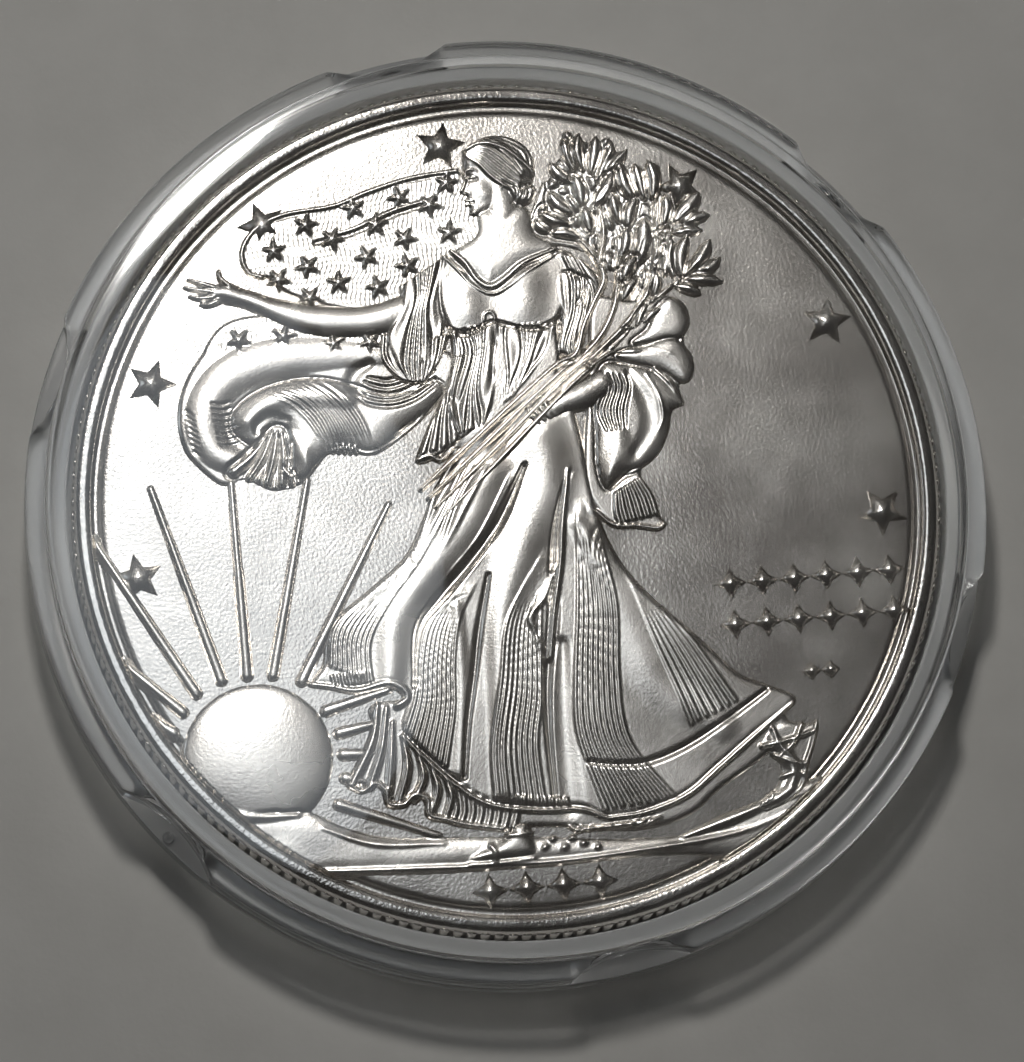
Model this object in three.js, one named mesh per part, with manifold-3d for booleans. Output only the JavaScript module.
// Round clear coin capsule with a silver coin in it: a base, a push-on lid and the coin.
// Millimetres, +Z up. The origin is the centre of the base's flat underside, and +Y is the coin's top.
import * as THREE from 'three';
import { mergeVertices } from 'three/addons/utils/BufferGeometryUtils.js';
import Module from 'manifold-3d';

const wasm = await Module();
wasm.setup();

// ---- driving dimensions ----
const COIN_DIAMETER = 40.6;
const COIN_THICKNESS = 2.98;
const CAPSULE_DIAMETER = 44.9;
const CAPSULE_HEIGHT = 6.0;
const WALL = 1.4; // floor of the base and window of the lid
const TURN_SEGMENTS = 144;

// base
const FACE_RADIUS = 21.5; // the flat round faces, before the flange steps out
const FACE_CHAMFER = 0.4;
const FLANGE_BOTTOM = 1.55;
const FLANGE_SPLIT = 3.0; // height where the two halves meet
const SPLIT_GAP = 0.04;
const FLANGE_ROUND = 0.2;
const RING_INNER_RADIUS = 20.5;
const RING_OUTER_RADIUS = 21.12;
const RING_TOP = 4.45;
const RING_CHAMFER = 0.12;

// lid
const SKIRT_INNER_RADIUS = 21.2;
const SKIRT_TOP = 4.62;
const SHOULDER_TOP = 4.95;
const LID_UNDERSIDE = CAPSULE_HEIGHT - WALL;
const SCALLOP_COUNT = 6;
const SCALLOP_FIRST_ANGLE = 39; // degrees from +X to one scallop's middle
const SCALLOP_RADIUS = 6.2;
const SCALLOP_CENTRE = FACE_RADIUS + 0.02 + SCALLOP_RADIUS; // leaves the lid's face whole
const SCALLOP_SEGMENTS = 48;

// gate nub, which stands on the base's flange in the middle of one scallop
const NUB_SCALLOP = 3;
const NUB_RADIUS = 0.34;
const NUB_HEIGHT = 0.5;
const NUB_CENTRE = 22.05;
const NUB_SINK = 0.3; // how far the nub's foot runs into the flange
const NUB_TAPER = 0.6;

// coin
const COIN_RADIUS = COIN_DIAMETER / 2;
const COIN_BOTTOM = WALL + 0.02;
const COIN_TOP = COIN_BOTTOM + COIN_THICKNESS;
const RIM_WIDTH = 0.95;
const RIM_HEIGHT = 0.36; // of the rim above the field
const RIM_SLOPE = 0.16;
const RIM_EDGE_ROUND = 0.12;
const REED_COUNT = 200;
const REED_DEPTH = 0.11;
const FIELD_TOP = COIN_TOP - RIM_HEIGHT;
const FIELD_BOTTOM = COIN_BOTTOM + RIM_HEIGHT;
const RELIEF_SINK = 0.3; // how far raised work reaches down into the blank

const FULL_TURN = 2 * Math.PI;
const DEG = Math.PI / 180;
const CUT_MARGIN = 1; // how far a cutter runs past what it cuts

// ---- solids ----

/** Turns a geometry into a manifold solid. */
function solidOf(geometry) {
  const bare = geometry.index ? geometry.toNonIndexed() : geometry.clone();
  bare.deleteAttribute('normal');
  bare.deleteAttribute('uv');
  const joined = mergeVertices(bare, 1e-5);
  const mesh = new wasm.Mesh({
    numProp: 3,
    vertProperties: new Float32Array(joined.attributes.position.array),
    triVerts: new Uint32Array(joined.index.array),
  });
  return new wasm.Manifold(mesh);
}

/** Turns a manifold solid back into a geometry. */
function geometryOf(solid) {
  const mesh = solid.getMesh();
  const geometry = new THREE.BufferGeometry();
  geometry.setAttribute('position', new THREE.BufferAttribute(mesh.vertProperties, 3));
  geometry.setIndex(new THREE.BufferAttribute(mesh.triVerts, 1));
  geometry.computeVertexNormals();
  return geometry;
}

/** A solid turned about +Z from [radius, height] points, the first and last of which lie on the axis. */
function turned(profile, segments = TURN_SEGMENTS) {
  const points = profile.map(([radius, height]) => new THREE.Vector2(radius, height));
  return solidOf(new THREE.LatheGeometry(points, segments).rotateX(Math.PI / 2));
}

/** An upright solid whose plan is shape, from one height to another. */
function upright(shape, from, to, curveSegments = 6) {
  const options = { depth: to - from, bevelEnabled: false, curveSegments };
  return solidOf(new THREE.ExtrudeGeometry(shape, options).translate(0, 0, from));
}

/** A closed smooth outline through [x, y] points. */
function smoothOutline(points, divisions) {
  const knots = points.map(([x, y]) => new THREE.Vector3(x, y, 0));
  const curve = new THREE.CatmullRomCurve3(knots, true, 'centripetal');
  const outline = curve.getPoints(divisions).slice(0, -1);
  return new THREE.Shape(outline.map((p) => new THREE.Vector2(p.x, p.y)));
}

/** A closed straight-sided outline through [x, y] points. */
function plainOutline(points) {
  return new THREE.Shape(points.map(([x, y]) => new THREE.Vector2(x, y)));
}

/** A point at a radius and an angle in degrees. */
function polar(radius, degrees) {
  return [radius * Math.cos(degrees * DEG), radius * Math.sin(degrees * DEG)];
}

// ---- capsule ----

/** The base: floor, flange and the upstanding ring round the coin. */
function baseSolid() {
  const flangeRadius = CAPSULE_DIAMETER / 2;
  const flangeTop = FLANGE_SPLIT - SPLIT_GAP;
  const dish = turned([
    [0, 0],
    [FACE_RADIUS - FACE_CHAMFER, 0],
    [FACE_RADIUS, FACE_CHAMFER],
    [FACE_RADIUS, FLANGE_BOTTOM],
    [flangeRadius - FLANGE_ROUND, FLANGE_BOTTOM],
    [flangeRadius, FLANGE_BOTTOM + FLANGE_ROUND],
    [flangeRadius, flangeTop],
    [RING_OUTER_RADIUS, flangeTop],
    [RING_OUTER_RADIUS, RING_TOP - RING_CHAMFER],
    [RING_OUTER_RADIUS - RING_CHAMFER, RING_TOP],
    [RING_INNER_RADIUS + RING_CHAMFER, RING_TOP],
    [RING_INNER_RADIUS, RING_TOP - RING_CHAMFER],
    [RING_INNER_RADIUS, WALL],
    [0, WALL],
  ]);
  return dish.add(gateNub(flangeTop));
}

/** The small moulding nub on the base's flange. */
function gateNub(flangeTop) {
  const height = NUB_HEIGHT + NUB_SINK;
  const nub = new THREE.CylinderGeometry(NUB_RADIUS * NUB_TAPER, NUB_RADIUS, height, 16).rotateX(Math.PI / 2);
  const [x, y] = polar(NUB_CENTRE, scallopAngle(NUB_SCALLOP));
  return solidOf(nub.translate(x, y, flangeTop - NUB_SINK + height / 2));
}

/** The angle of one scallop's middle, in degrees. */
function scallopAngle(index) {
  return SCALLOP_FIRST_ANGLE + (index * 360) / SCALLOP_COUNT;
}

/** The lid: window, shoulder and the skirt that pushes over the base's ring. */
function lidSolid() {
  const flangeRadius = CAPSULE_DIAMETER / 2;
  const cap = turned([
    [0, LID_UNDERSIDE],
    [SKIRT_INNER_RADIUS, LID_UNDERSIDE],
    [SKIRT_INNER_RADIUS, FLANGE_SPLIT],
    [flangeRadius, FLANGE_SPLIT],
    [flangeRadius, SKIRT_TOP],
    [flangeRadius - FLANGE_ROUND, SKIRT_TOP + FLANGE_ROUND],
    [FACE_RADIUS, SHOULDER_TOP],
    [FACE_RADIUS, CAPSULE_HEIGHT - FACE_CHAMFER],
    [FACE_RADIUS - FACE_CHAMFER, CAPSULE_HEIGHT],
    [0, CAPSULE_HEIGHT],
  ]);
  return cap.subtract(scallopCutters());
}

/** Round cutters for the pry scallops, which stop short of the lid's shoulder. */
function scallopCutters() {
  const from = FLANGE_SPLIT - CUT_MARGIN;
  const height = SHOULDER_TOP + CUT_MARGIN - from;
  const cutters = [];
  for (let index = 0; index < SCALLOP_COUNT; index += 1) {
    const round = new THREE.CylinderGeometry(SCALLOP_RADIUS, SCALLOP_RADIUS, height, SCALLOP_SEGMENTS);
    const [x, y] = polar(SCALLOP_CENTRE, scallopAngle(index));
    cutters.push(solidOf(round.rotateX(Math.PI / 2).translate(x, y, from + height / 2)));
  }
  return wasm.Manifold.union(cutters);
}

// ---- coin ----

/** The blank: a disc with a raised rim on both faces, before the reeds are cut. */
function blankSolid() {
  const outside = COIN_RADIUS + REED_DEPTH; // trimmed back by the reeded outline
  const round = RIM_EDGE_ROUND + REED_DEPTH;
  const rimInner = COIN_RADIUS - RIM_WIDTH;
  return turned([
    [0, FIELD_BOTTOM],
    [rimInner - RIM_SLOPE, FIELD_BOTTOM],
    [rimInner, COIN_BOTTOM],
    [outside - round, COIN_BOTTOM],
    [outside, COIN_BOTTOM + round],
    [outside, COIN_TOP - round],
    [outside - round, COIN_TOP],
    [rimInner, COIN_TOP],
    [rimInner - RIM_SLOPE, FIELD_TOP],
    [0, FIELD_TOP],
  ]);
}

/** The reeded outline as a tall prism. */
function reededPrism() {
  const points = [];
  for (let index = 0; index < 2 * REED_COUNT; index += 1) {
    const radius = COIN_RADIUS - (index % 2) * REED_DEPTH;
    points.push(polar(radius, (index * 180) / REED_COUNT));
  }
  return upright(plainOutline(points), COIN_BOTTOM - CUT_MARGIN, COIN_TOP + CUT_MARGIN);
}

/** The round space inside the rim, which raised work is trimmed to. */
function fieldDisc() {
  const radius = COIN_RADIUS - RIM_WIDTH;
  const low = COIN_BOTTOM;
  return turned([[0, low], [radius, low], [radius, COIN_TOP], [0, COIN_TOP]]);
}

/** Raised work on the face: plan shape and height above the field. */
function raised(shape, height) {
  return upright(shape, FIELD_TOP - RELIEF_SINK, FIELD_TOP + height);
}

/** A five-pointed star's outline. */
function starOutline(x, y, size, turn) {
  const points = [];
  for (let index = 0; index < 10; index += 1) {
    const reach = index % 2 ? size * 0.42 : size;
    const [dx, dy] = polar(reach, turn + 90 + index * 36);
    points.push([x + dx, y + dy]);
  }
  return plainOutline(points);
}

/** The stars along the upper arc of the face. */
function starArc() {
  const stars = [];
  const count = 7;
  const arcRadius = 17.2;
  for (let index = 0; index < count; index += 1) {
    const angle = 186 - index * 32;
    const [x, y] = polar(arcRadius, angle);
    stars.push(raised(starOutline(x, y, 0.95, angle - 90), 0.16));
  }
  return stars;
}

/** The rising sun, its rays and the ground line. */
function sunAndGround() {
  const centre = [-11.6, -11.2];
  const radius = 3.5;
  const dome = new THREE.SphereGeometry(radius, 32, 16).scale(1, 1, 0.085);
  const solids = [solidOf(dome.translate(centre[0], centre[1], FIELD_TOP))];
  const rays = [[8.4, 171], [9.2, 152], [11.2, 125], [12.2, 107], [11.8, 89], [12.4, 71], [12.2, 53]];
  for (const [reach, angle] of rays) {
    const foot = polar(radius + 0.5, angle);
    const tip = polar(reach, angle);
    const side = polar(0.16, angle + 90);
    const outline = [
      [centre[0] + foot[0] + side[0], centre[1] + foot[1] + side[1]],
      [centre[0] + foot[0] - side[0], centre[1] + foot[1] - side[1]],
      [centre[0] + tip[0], centre[1] + tip[1]],
    ];
    solids.push(raised(plainOutline(outline), 0.12));
  }
  const ground = [[-13.4, -14.0], [-8, -15.3], [0, -16.1], [8, -15.2], [13.4, -13.9], [6, -16.2], [-5, -16.6]];
  solids.push(raised(smoothOutline(ground, 36), 0.12));
  return solids;
}

/** The striding robed figure with its billowing cloth and leafy branch, in flat layers. */
function figureLayers() {
  const cloth = [[-2.6, 14.6], [-8, 14.8], [-11.8, 13.2], [-12.2, 11], [-9.6, 8.2], [-13.6, 6.6], [-15, 3.4],
    [-12.6, 1.2], [-9.6, 1.6], [-7.4, 3.4], [-3.2, 5.2], [-1.2, 9]];
  const branch = [[3.2, 17], [5.4, 17.6], [8.6, 15.8], [10.2, 12.6], [9.4, 10.2], [5.4, 8.8], [3.4, 12.6]];
  const cloak = [[3.6, 12.2], [6, 8.6], [9, 6.4], [7.4, 3], [7.8, -0.4], [5.2, 0.2], [3.6, 4]];
  const gown = [[-1.6, 7.8], [4, 8], [4.2, 2], [7.4, -4.6], [14.4, -9.6], [13.6, -12.6], [6.6, -13], [2, -14.6],
    [-4.2, -14.4], [-7.6, -13.2], [-6.4, -9], [-7.8, -8], [-4.4, -3.4], [-3.4, 2]];
  const bodice = [[-3.2, 11.6], [-0.4, 12.8], [3, 12.2], [5, 10], [3.6, 6.6], [-2.6, 6.2]];
  const arm = [[-2.4, 11.4], [-7.4, 9.6], [-11, 10.6], [-14, 11.4], [-14.4, 10.6], [-11.2, 9.4], [-7.2, 7.8],
    [-2.6, 8.4]];
  const head = [[-1.8, 16.6], [0, 18.4], [1.8, 17.8], [2, 15.6], [0.9, 14.4], [1.1, 12.2], [-0.7, 12.2], [-0.8, 13.8],
    [-1.7, 14.2]];
  return [
    raised(smoothOutline(cloth, 48), 0.1),
    raised(smoothOutline(branch, 32), 0.16),
    raised(smoothOutline(cloak, 32), 0.16),
    raised(smoothOutline(gown, 64), 0.2),
    raised(smoothOutline(bodice, 32), 0.26),
    raised(smoothOutline(arm, 40), 0.24),
    raised(smoothOutline(head, 40), 0.3),
  ];
}

/** The coin's other face: a plain rosette inside a ring. */
function rosette() {
  const solids = [];
  const petals = 8;
  const top = FIELD_BOTTOM + RELIEF_SINK;
  const bottom = FIELD_BOTTOM - 0.15;
  for (let index = 0; index < petals; index += 1) {
    const angle = (index * 360) / petals;
    const petal = [polar(3, angle), polar(8, angle - 16), polar(13.5, angle), polar(8, angle + 16)];
    solids.push(upright(smoothOutline(petal, 20), bottom, top));
  }
  const ring = new THREE.Shape();
  ring.absarc(0, 0, 16.6, 0, FULL_TURN, false);
  const inside = new THREE.Path();
  inside.absarc(0, 0, 16.0, 0, FULL_TURN, true);
  ring.holes.push(inside);
  solids.push(upright(ring, bottom, top, 60));
  return solids;
}

/** The whole coin. */
function coinSolid() {
  const blank = blankSolid().intersect(reededPrism());
  const face = wasm.Manifold.union([...starArc(), ...sunAndGround(), ...figureLayers()]);
  return wasm.Manifold.union([blank, face.intersect(fieldDisc()), ...rosette()]);
}

// ---- assembly ----

/** A named mesh made from a solid. */
function piece(name, solid, material) {
  const mesh = new THREE.Mesh(geometryOf(solid), material);
  mesh.name = name;
  return mesh;
}

const acrylic = new THREE.MeshStandardMaterial({
  name: 'acrylic', color: 0xeef2f4, roughness: 0.08, metalness: 0, transparent: true, opacity: 0.3,
});
const silver = new THREE.MeshStandardMaterial({ name: 'silver', color: 0xc9c8c4, roughness: 0.35, metalness: 1 });

const capsule = new THREE.Group();
capsule.name = 'coin_capsule';
capsule.add(piece('capsule_base', baseSolid(), acrylic));
capsule.add(piece('capsule_lid', lidSolid(), acrylic));
capsule.add(piece('coin', coinSolid(), silver));

export default capsule;
